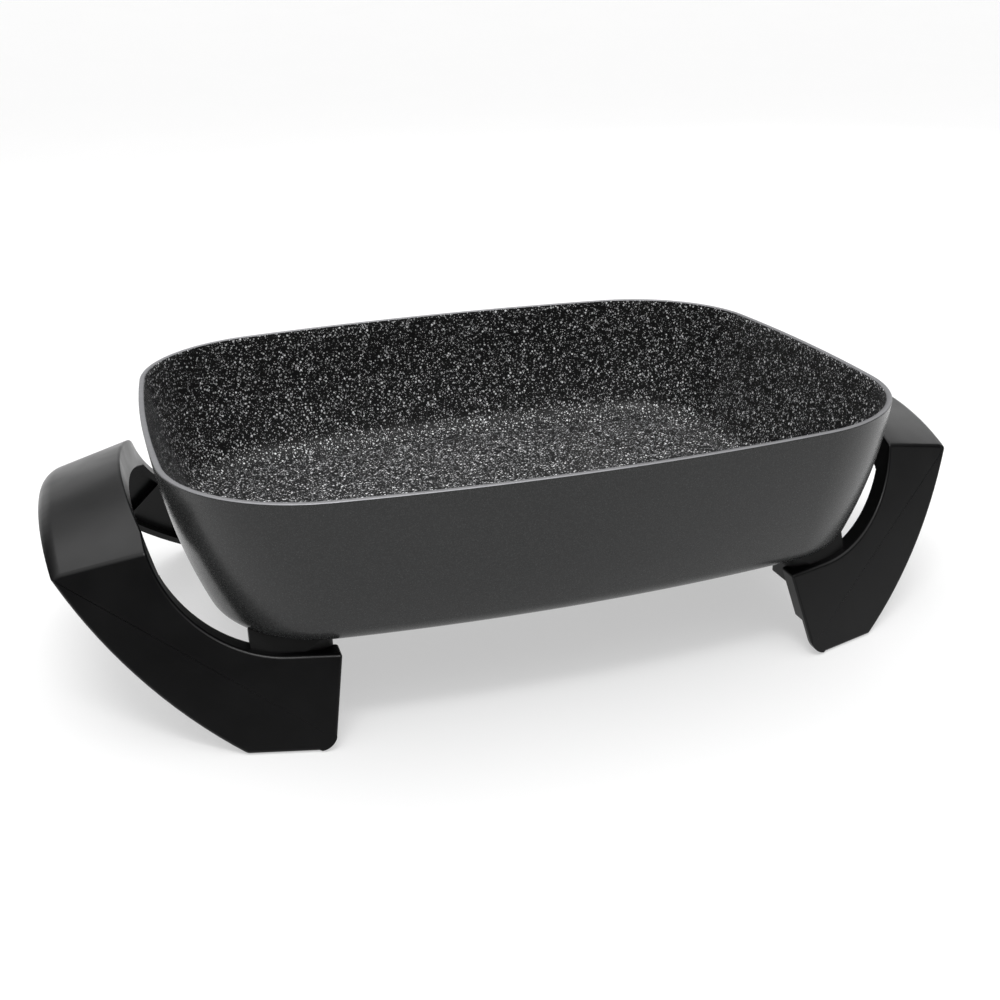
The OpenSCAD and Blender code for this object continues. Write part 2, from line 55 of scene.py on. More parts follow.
# %% [markdown]
# ## The camera
#
# The skillet is seen from its front left, from a little above. A long lens keeps
# the pan's sides nearly parallel. The camera's axes are worked out from three
# turns: to the right, down, and a small roll.

# %% Camera
camera_at = Vector((-0.2050, -0.6529, 0.3436))
turn_right = radians(17.33)
look_down = radians(22.67)
roll = radians(-1.43)
sensor_width = 36.0
focal_length = 43.87

forward = Vector((sin(turn_right) * cos(look_down), cos(turn_right) * cos(look_down), -sin(look_down)))
level_right = Vector((cos(turn_right), -sin(turn_right), 0))
level_up = level_right.cross(forward)
right = cos(roll) * level_right + sin(roll) * level_up
up = -sin(roll) * level_right + cos(roll) * level_up

lens = bpy.data.cameras.new("camera")
lens.lens = focal_length
lens.sensor_width = sensor_width
camera = bpy.data.objects.new("camera", lens)
camera.matrix_world = Matrix((
    (right.x, up.x, -forward.x, camera_at.x),
    (right.y, up.y, -forward.y, camera_at.y),
    (right.z, up.z, -forward.z, camera_at.z),
    (0, 0, 0, 1)))
bpy.context.collection.objects.link(camera)
bpy.context.scene.camera = camera
print("camera at", tuple(round(c, 3) for c in camera_at))

# %% [markdown]
# ## The studio
#
# A pale floor under a soft sky. The floor glows a little, like a light table, so
# the shadow on it stays pale. Black plastic and dark paint show their form only
# by what they reflect, so the sky is bright overhead and dark near the ground: the
# upright faces stay black, the tops turn grey, and every rounded edge catches a
# thin bright line as its normal sweeps past the bright part. Two high lamps, behind
# and in front, add to the sky. Two low ones, behind and on the right, are what the
# sloping grip tops mirror towards the camera. The Standard view transform keeps a
# white floor white.

# %% Sky, lamps and floor
bpy.context.scene.view_settings.view_transform = "Standard"

dark_up_to, bright_from = 0.40, 0.95
dark_strength, bright_strength = 0.02, 1.9
sky = bpy.data.worlds.new("sky")
sky.use_nodes = True
sky_tree = sky.node_tree
sky_way = sky_tree.nodes.new("ShaderNodeTexCoord")
sky_axes = sky_tree.nodes.new("ShaderNodeSeparateXYZ")
sky_fade = sky_tree.nodes.new("ShaderNodeMapRange")
sky_fade.interpolation_type = "SMOOTHSTEP"
for socket, value in (("From Min", dark_up_to), ("From Max", bright_from),
                      ("To Min", dark_strength), ("To Max", bright_strength)):
    sky_fade.inputs[socket].default_value = value
sky_tree.links.new(sky_way.outputs["Generated"], sky_axes.inputs["Vector"])
sky_tree.links.new(sky_axes.outputs["Z"], sky_fade.inputs["Value"])
sky_tree.links.new(sky_fade.outputs["Result"], sky_tree.nodes["Background"].inputs["Strength"])
sky_tree.nodes["Background"].inputs["Color"].default_value = (1, 1, 1, 1)
bpy.context.scene.world = sky


def soft_lamp(name, place, aim, size, power):
    data = bpy.data.lights.new(name, "AREA")
    data.shape = "RECTANGLE"
    data.size, data.size_y = size
    data.energy = power
    lamp = bpy.data.objects.new(name, data)
    lamp.location = place
    lamp.rotation_euler = (Vector(aim) - Vector(place)).to_track_quat("-Z", "Y").to_euler()
    bpy.context.collection.objects.link(lamp)
    print(name, "at", place, power, "W")


middle = (0, 0, 0.1)
soft_lamp("rear_softbox", (-0.2, 1.0, 1.9), (-0.2, 0, 0.1), (2.4, 0.9), 9)
soft_lamp("front_softbox", (-0.35, -0.85, 1.9), middle, (0.9, 0.35), 14)
soft_lamp("low_rear_softbox", (-0.5, 2.2, 0.65), (-0.3, 0, 0.1), (2.4, 0.7), 5)
soft_lamp("low_right_softbox", (2.0, 1.35, 0.9), (0.24, 0, 0.1), (1.2, 0.8), 4.5)

# %% The floor, a wide dish whose far edge hides the horizon
floor_rings = [(2.0, 0.0), (6.0, 0.0), (9.0, 0.12), (12.0, 0.5), (14.0, 1.1)]
floor_turns = 48
floor_points = [(0, 0, 0)]
for r, z in floor_rings:
    floor_points += [(r * cos(2 * pi * k / floor_turns), r * sin(2 * pi * k / floor_turns), z)
                     for k in range(floor_turns)]
floor_faces = [(0, 1 + k, 1 + (k + 1) % floor_turns) for k in range(floor_turns)]
for ring in range(len(floor_rings) - 1):
    a, b = 1 + ring * floor_turns, 1 + (ring + 1) * floor_turns
    floor_faces += [(a + k, b + k, b + (k + 1) % floor_turns, a + (k + 1) % floor_turns)
                    for k in range(floor_turns)]
floor_mesh = bpy.data.meshes.new("floor")
floor_mesh.from_pydata(floor_points, [], floor_faces)
floor_mesh.shade_smooth()
floor = bpy.data.objects.new("floor", floor_mesh)
bpy.context.collection.objects.link(floor)
print("floor faces:", len(floor_mesh.polygons))

# %% [markdown]
# ## Finishes
#
# Each finish is a small node tree. A helper makes a shader with its plain numbers
# set on the sockets, and each finish then adds only the noise that it needs. All
# patterns are read from Object coordinates, so they stay put on the piece.

# %% Helpers for finishes
def new_finish(name, color, roughness, metallic=0.0, **sockets):
    finish = bpy.data.materials.new(name)
    finish.use_nodes = True
    shader = finish.node_tree.nodes["Principled BSDF"]
    shader.inputs["Base Color"].default_value = (*color, 1)
    shader.inputs["Roughness"].default_value = roughness
    shader.inputs["Metallic"].default_value = metallic
    for socket, value in sockets.items():
        shader.inputs[socket.replace("_", " ")].default_value = value
    return finish, finish.node_tree, shader


def add_node(tree, kind, settings=None, **sockets):
    node = tree.nodes.new(kind)
    for name, value in (settings or {}).items():
        setattr(node, name, value)
    for socket, value in sockets.items():
        node.inputs[socket.replace("_", " ")].default_value = value
    return node


def place_of(tree, turned=False):
    """Object coordinates; turned ones keep a cell pattern from lining up with a flat wall."""
    place = add_node(tree, "ShaderNodeTexCoord").outputs["Object"]
    if not turned:
        return place
    turn = add_node(tree, "ShaderNodeMapping", Rotation=(0.61, 0.37, 0.83))
    tree.links.new(place, turn.inputs["Vector"])
    return turn.outputs["Vector"]


def noise(tree, scale, detail=2.0, roughness=0.5):
    node = add_node(tree, "ShaderNodeTexNoise", Scale=scale, Detail=detail, Roughness=roughness)
    tree.links.new(place_of(tree), node.inputs["Vector"])
    return node.outputs["Fac"]


def spread(tree, value, low, high, to_low=0.0, to_high=1.0):
    node = add_node(tree, "ShaderNodeMapRange", {"clamp": True})
    node.inputs["From Min"].default_value = low
    node.inputs["From Max"].default_value = high
    node.inputs["To Min"].default_value = to_low
    node.inputs["To Max"].default_value = to_high
    tree.links.new(value, node.inputs["Value"])
    return node.outputs["Result"]


def blend_colors(tree, share, first, second):
    node = add_node(tree, "ShaderNodeMix", {"data_type": "RGBA"})
    tree.links.new(share, node.inputs["Factor"])
    for socket, color in ((node.inputs[6], first), (node.inputs[7], second)):
        if isinstance(color, tuple):
            socket.default_value = (*color, 1)
        else:
            tree.links.new(color, socket)
    return node.outputs[2]


def add_bump(tree, shader, height, strength, distance):
    node = add_node(tree, "ShaderNodeBump", Strength=strength, Distance=distance)
    tree.links.new(height, node.inputs["Height"])
    tree.links.new(node.outputs["Normal"], shader.inputs["Normal"])


# %% Pan finishes
def cells(tree, scale):
    """Small random cells: how far a point is from its cell's middle, and three numbers for the cell."""
    pattern = add_node(tree, "ShaderNodeTexVoronoi", Scale=scale)
    tree.links.new(place_of(tree, turned=True), pattern.inputs["Vector"])
    numbers = add_node(tree, "ShaderNodeSeparateColor")
    tree.links.new(pattern.outputs["Color"], numbers.inputs["Color"])
    return pattern.outputs["Distance"], numbers.outputs


def sparkle_paint():
    finish, tree, shader = new_finish("sparkle_paint", (0.03, 0.031, 0.031), 0.22, Specular_IOR_Level=0.3)
    _, flake = cells(tree, 2600.0)
    cloud = spread(tree, noise(tree, 9.0), 0.3, 0.7)
    base = blend_colors(tree, cloud, (0.015, 0.0155, 0.0155), (0.0175, 0.018, 0.018))
    share = spread(tree, flake["Red"], 0.6, 1.0)
    tree.links.new(blend_colors(tree, share, base, (0.036, 0.037, 0.037)), shader.inputs["Base Color"])
    tree.links.new(spread(tree, flake["Green"], 0, 1, 0.18, 0.28), shader.inputs["Roughness"])
    add_bump(tree, shader, flake["Blue"], 0.08, 0.00012)
    return finish


def speckles(tree, scale, share, reach, soft):
    """Dots of many sizes: the cells with a high number hold one, which grows with that number."""
    distance, number = cells(tree, scale)
    radius = spread(tree, number["Red"], 1 - share, 1.0, 0.0, reach)
    inside = add_node(tree, "ShaderNodeMath", {"operation": "SUBTRACT"})
    tree.links.new(radius, inside.inputs[0])
    tree.links.new(distance, inside.inputs[1])
    dot = spread(tree, inside.outputs[0], 0.0, soft)
    bright = add_node(tree, "ShaderNodeMath", {"operation": "MULTIPLY"})
    tree.links.new(dot, bright.inputs[0])
    tree.links.new(spread(tree, number["Green"], 0, 1, 0.12, 1.0), bright.inputs[1])
    return bright.outputs[0]


def speckled_non_stick():
    finish, tree, shader = new_finish("speckled_non_stick", (0.012, 0.012, 0.012), 0.42,
                                      Specular_IOR_Level=0.25)
    coarse = speckles(tree, 640.0, 0.62, 0.56, 0.14)
    fine = speckles(tree, 1150.0, 0.85, 0.52, 0.16)
    both = add_node(tree, "ShaderNodeMath", {"operation": "MAXIMUM"})
    tree.links.new(coarse, both.inputs[0])
    tree.links.new(fine, both.inputs[1])
    color = blend_colors(tree, both.outputs[0], (0.003, 0.003, 0.0032), (0.92, 0.93, 0.94))
    tree.links.new(color, shader.inputs["Base Color"])
    add_bump(tree, shader, noise(tree, 900.0), 0.12, 0.0001)
    return finish


def machined_rim():
    finish, tree, shader = new_finish("machined_rim", (0.25, 0.25, 0.26), 0.5, 0.8)
    rings = noise(tree, 260.0, 3.0)
    tree.links.new(spread(tree, rings, 0.3, 0.7, 0.44, 0.56), shader.inputs["Roughness"])
    return finish


paint = sparkle_paint()
non_stick = speckled_non_stick()
rim_metal = machined_rim()
print("pan finishes:", paint.name, non_stick.name, rim_metal.name)


# %% Plastic, rubber, steel and ceramic finishes
def moulded_black(name, color, roughness):
    finish, tree, shader = new_finish(name, color, roughness, Specular_IOR_Level=0.25)
    tree.links.new(spread(tree, noise(tree, 40.0), 0.3, 0.7, roughness - 0.04, roughness + 0.04),
                   shader.inputs["Roughness"])
    add_bump(tree, shader, noise(tree, 2600.0, 3.0), 0.10, 0.00008)
    return finish


def plain_metal(name, color, roughness, grain):
    finish, tree, shader = new_finish(name, color, roughness, 1.0)
    tree.links.new(spread(tree, noise(tree, grain, 4.0), 0.3, 0.7, roughness - 0.08, roughness + 0.1),
                   shader.inputs["Roughness"])
    tone = spread(tree, noise(tree, grain / 6), 0.3, 0.7)
    dark = tuple(c * 0.82 for c in color)
    tree.links.new(blend_colors(tree, tone, color, dark), shader.inputs["Base Color"])
    return finish


handle_black = moulded_black("handle_black", (0.0025, 0.0025, 0.0027), 0.32)
spacer_black = moulded_black("spacer_black", (0.003, 0.003, 0.003), 0.5)
rubber_black = moulded_black("rubber_black", (0.016, 0.016, 0.016), 0.75)
sheath_steel = plain_metal("sheath_steel", (0.30, 0.28, 0.26), 0.48, 300.0)
zinc = plain_metal("zinc", (0.62, 0.62, 0.61), 0.3, 500.0)
pin_plate = plain_metal("pin_plate", (0.74, 0.73, 0.71), 0.2, 400.0)
well_metal = plain_metal("well_metal", (0.66, 0.66, 0.65), 0.3, 350.0)
bead_white, bead_tree, bead_shader = new_finish("bead_white", (0.78, 0.75, 0.68), 0.3)
bead_tint = blend_colors(bead_tree, spread(bead_tree, noise(bead_tree, 400.0), 0.35, 0.65),
                         (0.80, 0.77, 0.70), (0.70, 0.67, 0.60))
bead_tree.links.new(bead_tint, bead_shader.inputs["Base Color"])

light_table, table_tree, table_shader = new_finish("light_table", (0.45, 0.45, 0.45), 0.7)
table_shader.inputs["Emission Color"].default_value = (1, 1, 1, 1)
table_shader.inputs["Emission Strength"].default_value = 0.50
table_tint = blend_colors(table_tree, spread(table_tree, noise(table_tree, 3.0), 0.3, 0.7),
                          (0.45, 0.45, 0.45), (0.44, 0.44, 0.44))
table_tree.links.new(table_tint, table_shader.inputs["Base Color"])
floor_mesh.materials.append(light_table)
print("materials:", len(bpy.data.materials))

# %% [markdown]
# ## The pan's outline
#
# Seen from above the pan is four shallow bows joined by corner arcs that touch
# them. The wall keeps its profile all the way round, so the pan is one profile
# swept along that outline: a main piece that follows a rule. First the outline.

# %% Outline of the rim
pan_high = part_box("pan")[1]
rim_half_l = pan_high.x
rim_half_w = pan_high.y
rim_z = pan_high.z
long_bow_r = 1.036
end_bow_r = 0.998
corner_r = 0.0834
end_steps, corner_steps, long_steps = 16, 34, 22

long_c = Vector((0, rim_half_w - long_bow_r))
end_c = Vector((rim_half_l - end_bow_r, 0))
between = end_c - long_c
long_d = long_bow_r - corner_r
end_d = end_bow_r - corner_r
along = (long_d ** 2 - end_d ** 2 + between.length ** 2) / (2 * between.length)
aside = sqrt(long_d ** 2 - along ** 2)
direction = between.normalized()
corner_c = long_c + along * direction + aside * Vector((direction.y, -direction.x))
end_angle = atan2(corner_c.y - end_c.y, corner_c.x - end_c.x)
long_angle = atan2(corner_c.y - long_c.y, corner_c.x - long_c.x)


def arc(center, r, a0, a1, steps):
    angles = [a0 + (a1 - a0) * i / steps for i in range(steps)]
    return [(center[0] + r * cos(a), center[1] + r * sin(a)) for a in angles]


def pan_outline(inset):
    quarter = (arc(end_c, end_bow_r - inset, 0, end_angle, end_steps)
               + arc(corner_c, corner_r - inset, end_angle, long_angle, corner_steps)
               + arc(long_c, long_bow_r - inset, long_angle, pi / 2, long_steps))
    half = quarter + [(0, rim_half_w - inset)] + [(-x, y) for x, y in reversed(quarter[1:])]
    return half + [(-x, -y) for x, y in half]


rim_outline = pan_outline(0)
print("outline points:", len(rim_outline))

# %% [markdown]
# ## The pan's profile
#
# From the rim down, the outer wall leans in a little and then more, and ends in a
# rounded bottom edge. The inner wall does the same 3 mm further in. The rim is
# machined flat and its outer edge is rounded over.

# %% Profile of the wall, as points of (inset, height)
pan_depth = 0.0844
wall_t = 0.003
floor_t = 0.0036
draft = 0.09
bow = 2.1
rim_round = 0.0009
rim_break = 0.0004
outer_wall_end, inner_wall_end = 0.0744, 0.069
wall_points, edge_steps, rim_steps = 22, 12, 5


def wall_in(depth):
    return draft * depth + bow * depth ** 2


def side_profile(skin, depth, wall_end, first):
    lean = atan(draft + 2 * bow * wall_end)
    edge_r = (depth - wall_end) / (1 - sin(lean))
    middle_in = skin + wall_in(wall_end) + edge_r * cos(lean)
    wall = [(skin + wall_in(d), rim_z - d) for d in np.linspace(first, wall_end, wall_points)]
    turns = [lean + (pi / 2 - lean) * k / edge_steps for k in range(1, edge_steps + 1)]
    edge = [(middle_in - edge_r * cos(a), rim_z - depth + edge_r - edge_r * sin(a)) for a in turns]
    return wall + edge


outer_side = side_profile(0, pan_depth, outer_wall_end, rim_round)
inner_side = side_profile(wall_t, pan_depth - floor_t, inner_wall_end, rim_break)
rim_turns = [pi / 2 * k / rim_steps for k in range(1, rim_steps + 1)]
rim_edge = [(rim_round - rim_round * cos(a), rim_z - rim_round + rim_round * sin(a)) for a in rim_turns]
pan_profile = outer_side[::-1] + rim_edge + [(wall_t - rim_break, rim_z)] + inner_side
print("profile points:", len(pan_profile))

# %% [markdown]
# ## The sweep
#
# The Geometry Nodes tree takes the outline as its own mesh and the profile from a
# second object, turns both into curves and sweeps one along the other.

# %% A sweep tree and a way to bake it
def new_piece(name, mesh):
    piece = bpy.data.objects.new(name, mesh)
    bpy.context.collection.objects.link(piece)
    return piece


def modified_mesh(piece):
    """The mesh as the piece's modifiers make it."""
    ready = piece.evaluated_get(bpy.context.evaluated_depsgraph_get())
    return bpy.data.meshes.new_from_object(ready)


def points_object(name, points, closed=False, joined=True):
    """A mesh of bare points, joined to a line or a loop unless told otherwise."""
    mesh = bpy.data.meshes.new(name)
    edges = [(i, i + 1) for i in range(len(points) - 1)] if joined else []
    if closed:
        edges.append((len(points) - 1, 0))
    mesh.from_pydata([tuple(p) for p in points], edges, [])
    return new_piece(name, mesh)


def new_tree(name, inputs):
    tree = bpy.data.node_groups.new(name, "GeometryNodeTree")
    tree.interface.new_socket("Geometry", in_out="INPUT", socket_type="NodeSocketGeometry")
    for label, kind in inputs:
        tree.interface.new_socket(label, in_out="INPUT", socket_type="NodeSocket" + kind)
    tree.interface.new_socket("Geometry", in_out="OUTPUT", socket_type="NodeSocketGeometry")
    return tree, tree.nodes.new("NodeGroupInput"), tree.nodes.new("NodeGroupOutput")


def finish_tree(tree, geometry, group_in, group_out):
    realize = tree.nodes.new("GeometryNodeRealizeInstances")
    paint_it = tree.nodes.new("GeometryNodeSetMaterial")
    tree.links.new(geometry, realize.inputs["Geometry"])
    tree.links.new(realize.outputs["Geometry"], paint_it.inputs["Geometry"])
    tree.links.new(group_in.outputs["Material"], paint_it.inputs["Material"])
    tree.links.new(paint_it.outputs["Geometry"], group_out.inputs["Geometry"])


def bake(host, tree, values, name):
    """Runs the tree on host with the named values, and returns a plain mesh object."""
    modifier = host.modifiers.new(tree.name, "NODES")
    modifier.node_group = tree
    sockets = {item.name: item.identifier for item in tree.interface.items_tree if item.in_out == "INPUT"}
    for label, value in values.items():
        modifier[sockets[label]] = value
    bpy.context.view_layer.update()
    mesh = modified_mesh(host)
    host.modifiers.remove(modifier)
    mesh.name = name
    return new_piece(name, mesh)


def sweep_tree():
    tree, group_in, group_out = new_tree("profile_sweep", [("Profile", "Object"), ("Material", "Material")])
    path = tree.nodes.new("GeometryNodeMeshToCurve")
    upright = add_node(tree, "GeometryNodeSetCurveNormal", {"mode": "Z_UP"})
    profile = tree.nodes.new("GeometryNodeObjectInfo")
    section = tree.nodes.new("GeometryNodeMeshToCurve")
    skin = tree.nodes.new("GeometryNodeCurveToMesh")
    tree.links.new(group_in.outputs["Geometry"], path.inputs["Mesh"])
    tree.links.new(path.outputs["Curve"], upright.inputs["Curve"])
    tree.links.new(group_in.outputs["Profile"], profile.inputs["Object"])
    tree.links.new(profile.outputs["Geometry"], section.inputs["Mesh"])
    tree.links.new(upright.outputs["Curve"], skin.inputs["Curve"])
    tree.links.new(section.outputs["Curve"], skin.inputs["Profile Curve"])
    skin.inputs["Fill Caps"].default_value = True
    finish_tree(tree, skin.outputs["Mesh"], group_in, group_out)
    return tree


crisp_angle = 0.6


def set_outward(piece):
    shape = bmesh.new()
    shape.from_mesh(piece.data)
    bmesh.ops.recalc_face_normals(shape, faces=shape.faces)
    for face in shape.faces:
        face.smooth = True
    for edge in shape.edges:
        edge.smooth = edge.calc_face_angle(0) < crisp_angle
    shape.to_mesh(piece.data)
    shape.free()


def drop(*pieces):
    for piece in pieces:
        bpy.data.objects.remove(piece)


outline_object = points_object("pan_outline", [(x, y, 0) for x, y in rim_outline], closed=True)
profile_object = points_object("pan_profile", [(-inset, -z, 0) for inset, z in pan_profile])
sweep = sweep_tree()
pan = bake(outline_object, sweep, {"Profile": profile_object, "Material": paint}, "pan_shell")
drop(outline_object, profile_object)
low = np.array([v.co for v in pan.data.vertices]).min(0)
high = np.array([v.co for v in pan.data.vertices]).max(0)
print("swept pan:", low.round(4), high.round(4), len(pan.data.polygons))

# %% Close the floors and give each zone its finish
floor_margin = 0.004
rim_band = 0.00045


def close_floors(piece):
    """Fills the two open loops, at the floor's top and underside, with flat faces."""
    shape = bmesh.new()
    shape.from_mesh(piece.data)
    rims = [e for e in shape.edges if e.is_boundary]
    flats = bmesh.ops.holes_fill(shape, edges=rims, sides=0)["faces"]
    for flat in flats:
        bmesh.ops.inset_individual(shape, faces=[flat], thickness=floor_margin, depth=0)
    bmesh.ops.recalc_face_normals(shape, faces=shape.faces)
    for face in shape.faces:
        face.smooth = True
    shape.to_mesh(piece.data)
    shape.free()


close_floors(pan)
pan.data.materials.append(rim_metal)
pan.data.materials.append(non_stick)
for face in pan.data.polygons:
    if face.center.z > rim_z - rim_band:
        face.material_index = 1
    elif face.normal.x * face.center.x + face.normal.y * face.center.y < 0 or (
            face.normal.z > 0.9 and face.center.z > rim_z - pan_depth + floor_t / 2):
        face.material_index = 2
print("pan faces:", len(pan.data.polygons), "zones:", {f.material_index for f in pan.data.polygons})

# %% The pan rides and stands for its CAD node
def dress(piece, slot, *replaced):
    """Lets the piece ride and hides the CAD nodes that it stands for; the slot is not used."""
    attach(piece, "root")
    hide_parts(*replaced)
    return piece


dress(pan, "cast_pan", "pan")

# %% [markdown]
# ## Cast ribs under the floor
#
# Two ribs hold the heating element between them. Each follows the element's loop
# at a constant distance and stops where the leads come out, so the same sweep
# makes them from a small rectangle with broken edges. They run a little way up
# into the floor, as the casting would.

# %% Ribs along the element
bottom_z = rim_z - pan_depth
element_d = 0.008
loop_x, loop_y, loop_r = 0.125, 0.075, 0.045
mouth = 0.032
rib_t, rib_h, into_floor, edge_break = 0.003, 0.005, 0.0008, 0.0005


def quarter_turn(x, y, r, start, steps):
    return [(x + r * cos(start - pi / 2 * k / steps), y + r * sin(start - pi / 2 * k / steps))
            for k in range(steps + 1)]


def loop_bends(offset, steps=12):
    """The four bends of the element's loop, moved out by offset, clockwise from the right front."""
    x, y, r = loop_x + offset, loop_y + offset, loop_r + offset
    bends = ((x - r, r - y, 0), (r - x, r - y, -pi / 2), (r - x, y - r, -pi), (x - r, y - r, -3 * pi / 2))
    return [point for bend_x, bend_y, start in bends
            for point in quarter_turn(bend_x, bend_y, r, start, steps)]


low_z, high_z, half_t = bottom_z - rib_h, bottom_z + into_floor, rib_t / 2
rib_section = points_object("rib_section", [
    (-half_t, -high_z, 0), (half_t, -high_z, 0), (half_t, -low_z - edge_break, 0),
    (half_t - edge_break, -low_z, 0), (edge_break - half_t, -low_z, 0), (-half_t, -low_z - edge_break, 0)],
    closed=True)
rib_offset = 0.0056
for name, offset in (("outer_cast_rib", rib_offset), ("inner_cast_rib", -rib_offset)):
    ends = loop_x + offset
    rib_line = [(ends, -mouth)] + loop_bends(offset) + [(ends, mouth)]
    path = points_object("rib_path", [(x, y, 0) for x, y in rib_line])
    rib = bake(path, sweep, {"Profile": rib_section, "Material": paint}, name)
    drop(path)
    set_outward(rib)
    dress(rib, "cast_pan", "pan")
    print(rib.name, len(rib.data.polygons), "faces")
drop(rib_section)

# %% [markdown]
# ## The heating element
#
# A steel tube bent to a rounded loop. Its two ends turn inwards, drop to the
# socket's height and stop at the ceramic beads. It follows a path, so the sweep
# makes it too, from a circle.

# %% Element
lead_y, lead_bend_r = 0.016, 0.012
socket_z, sheath_end_x = 0.040, 0.172
drop_x0, drop_x1 = 0.143, 0.160
straight_x0 = drop_x0 - 0.002
bend_steps, straight_points, ring_sides = 8, 22, 24
element_z = bottom_z - element_d / 2


def smooth_drop(x):
    """Height of a lead at x: level, an eased drop, level again."""
    t = min(max((x - drop_x0) / (drop_x1 - drop_x0), 0), 1)
    return element_z + (socket_z - element_z) * t * t * (3 - 2 * t)


def lead(side):
    turns = [pi / 2 * k / bend_steps for k in range(bend_steps + 1)]
    bend = [(loop_x + lead_bend_r - lead_bend_r * sin(a),
             side * (lead_y + lead_bend_r - lead_bend_r * cos(a)), element_z) for a in turns]
    straight = [(x, side * lead_y, smooth_drop(x))
                for x in np.linspace(sheath_end_x, straight_x0, straight_points)]
    return straight + bend


element_path = lead(-1) + [(x, y, element_z) for x, y in loop_bends(0)] + lead(1)[::-1]
path = points_object("element_path", element_path)
ring_turns = [2 * pi * k / ring_sides for k in range(ring_sides)]
ring = points_object("element_ring", [
    (element_d / 2 * cos(a), element_d / 2 * sin(a), 0) for a in ring_turns], closed=True)
element = bake(path, sweep, {"Profile": ring, "Material": sheath_steel}, "element_tube")
drop(path, ring)
set_outward(element)
dress(element, "element_sheath", "heating_element")
print("element tube:", len(element.data.polygons), "faces")

# %% [markdown]
# ## The handle mouldings
#
# Each moulding was cut from exact surfaces, so its shape is right but its edges
# are knife-sharp, which no moulding is. A copy of the CAD mesh is merged and its
# flat triangles are joined. Then the edges where two outer surfaces meet are
# rounded with a bevel. Those surfaces are known: two leaning faces, the big sweep,
# the crown over the grip, the finger opening, the bow and the leg's end. The ribs
# inside keep their crisp edges, and so does the one where the crown meets the
# sweep: its triangles are narrower than the bevel, which comes out wavy there.
# Weighted normals shade the bevel, and each large flat face gets its own normal at
# all its corners.

# %% Which outer surface a corner of the moulding lies on
face_x, face_y, face_z, face_at = 0.2476, 0.9017, 0.3553, 0.16402
sweep_x, sweep_z, sweep_r = 0.0607, 0.1907, 0.222
finger_x, finger_z, finger_r, finger_wall_x = 0.1495, 0.106, 0.061, 0.2105
grip_slope, crown_r, crown_edge_r, crown_end = radians(16.1), 0.220, 0.013, 0.061
bow_tilt, bow_r = radians(10.2), 0.550
leg_x, leg_top_z, leg_run, leg_drop, underside_z = 0.1244, 0.045, 0.0072, 0.0347, 0.0008
touch = 0.00012
left_crisp = {"crown", "sweep"}

crown_way = Vector((cos(grip_slope), 0, -sin(grip_slope)))
crown_foot = Vector((0.208, 0, 0.1141)) - crown_r * Vector((sin(grip_slope), 0, cos(grip_slope)))
bow_way = Vector((sin(bow_tilt), 0, cos(bow_tilt)))
bow_foot = Vector((0.2175, 0, 0.1141)) - bow_r * Vector((cos(bow_tilt), 0, -sin(bow_tilt)))
leg_way = Vector((leg_run, 0, -leg_drop)).normalized()
leg_top = Vector((leg_x, 0, leg_top_z))
leg_outward = Vector((leg_way.z, 0, -leg_way.x))


def off_axis(point, foot, way):
    reach = point - foot
    return (reach - way * reach.dot(way)).length


def crown_gap(p):
    """Distance from the crown: a cylinder with a rounded outer edge and a flat end."""
    out = off_axis(p, crown_foot, crown_way) - (crown_r - crown_edge_r)
    along = (p - crown_foot).dot(crown_way) - (crown_end - crown_edge_r)
    if along > 0 and out > 0:
        return sqrt(along ** 2 + out ** 2) - crown_edge_r
    return (out if along < 0 else along) - crown_edge_r


outer_surfaces = {
    "face": lambda p: face_x * p.x + face_y * p.y + face_z * p.z - face_at,
    "sweep": lambda p: sqrt((p.x - sweep_x) ** 2 + (p.z - sweep_z) ** 2) - sweep_r,
    "crown": crown_gap,
    "finger": lambda p: sqrt((p.x - finger_x) ** 2 + (p.z - finger_z) ** 2) - finger_r,
    "finger_wall": lambda p: p.x - finger_wall_x,
    "bow": lambda p: off_axis(p, bow_foot, bow_way) - bow_r,
    "leg_top": lambda p: p.z - leg_top_z,
    "leg_end": lambda p: (p - leg_top).dot(leg_outward),
    "underside": lambda p: p.z - underside_z}


def surface_of(face):
    corners = [Vector((abs(v.co.x), abs(v.co.y), v.co.z)) for v in face.verts]
    for name, gap in outer_surfaces.items():
        if all(abs(gap(corner)) < touch for corner in corners):
            return name
    return None


# %% Merge a copy and round its outer edges
merge_gap, sliver_gap, flat_angle = 0.00002, 0.00003, 0.002
edge_round, round_from_angle = 0.0016, 0.3


def merged_copy(node_name):
    """The shape of a CAD node with its loose triangles merged and its flats joined."""
    shape = bmesh.new()
    shape.from_mesh(nodes[node_name].data)
    bmesh.ops.remove_doubles(shape, verts=shape.verts, dist=merge_gap)
    bmesh.ops.dissolve_degenerate(shape, edges=shape.edges, dist=sliver_gap)
    bmesh.ops.dissolve_limit(shape, angle_limit=flat_angle, verts=shape.verts, edges=shape.edges)
    flat = [face for face in shape.faces if surface_of(face) == "face"]
    bmesh.ops.dissolve_faces(shape, faces=flat, use_verts=False)
    return shape


def round_outer_edges(shape):
    """Bevels the edges where two outer surfaces meet, and returns how many there are."""
    kinds = {face: surface_of(face) for face in shape.faces}
    outer_edges = []
    for edge in shape.edges:
        pair = {kinds[face] for face in edge.link_faces}
        two_outer = None not in pair and len(pair) == 2
        if two_outer and pair != left_crisp and edge.calc_face_angle() > round_from_angle:
            outer_edges.append(edge)
    bmesh.ops.bevel(shape, geom=outer_edges, offset=edge_round, offset_type="OFFSET", segments=4,
                    profile=0.5, affect="EDGES", clamp_overlap=False)
    return len(outer_edges)


# %% Shade the rounded copy
moulding_crisp_angle = 0.75
large_face, near_flat = 0.001, 0.5


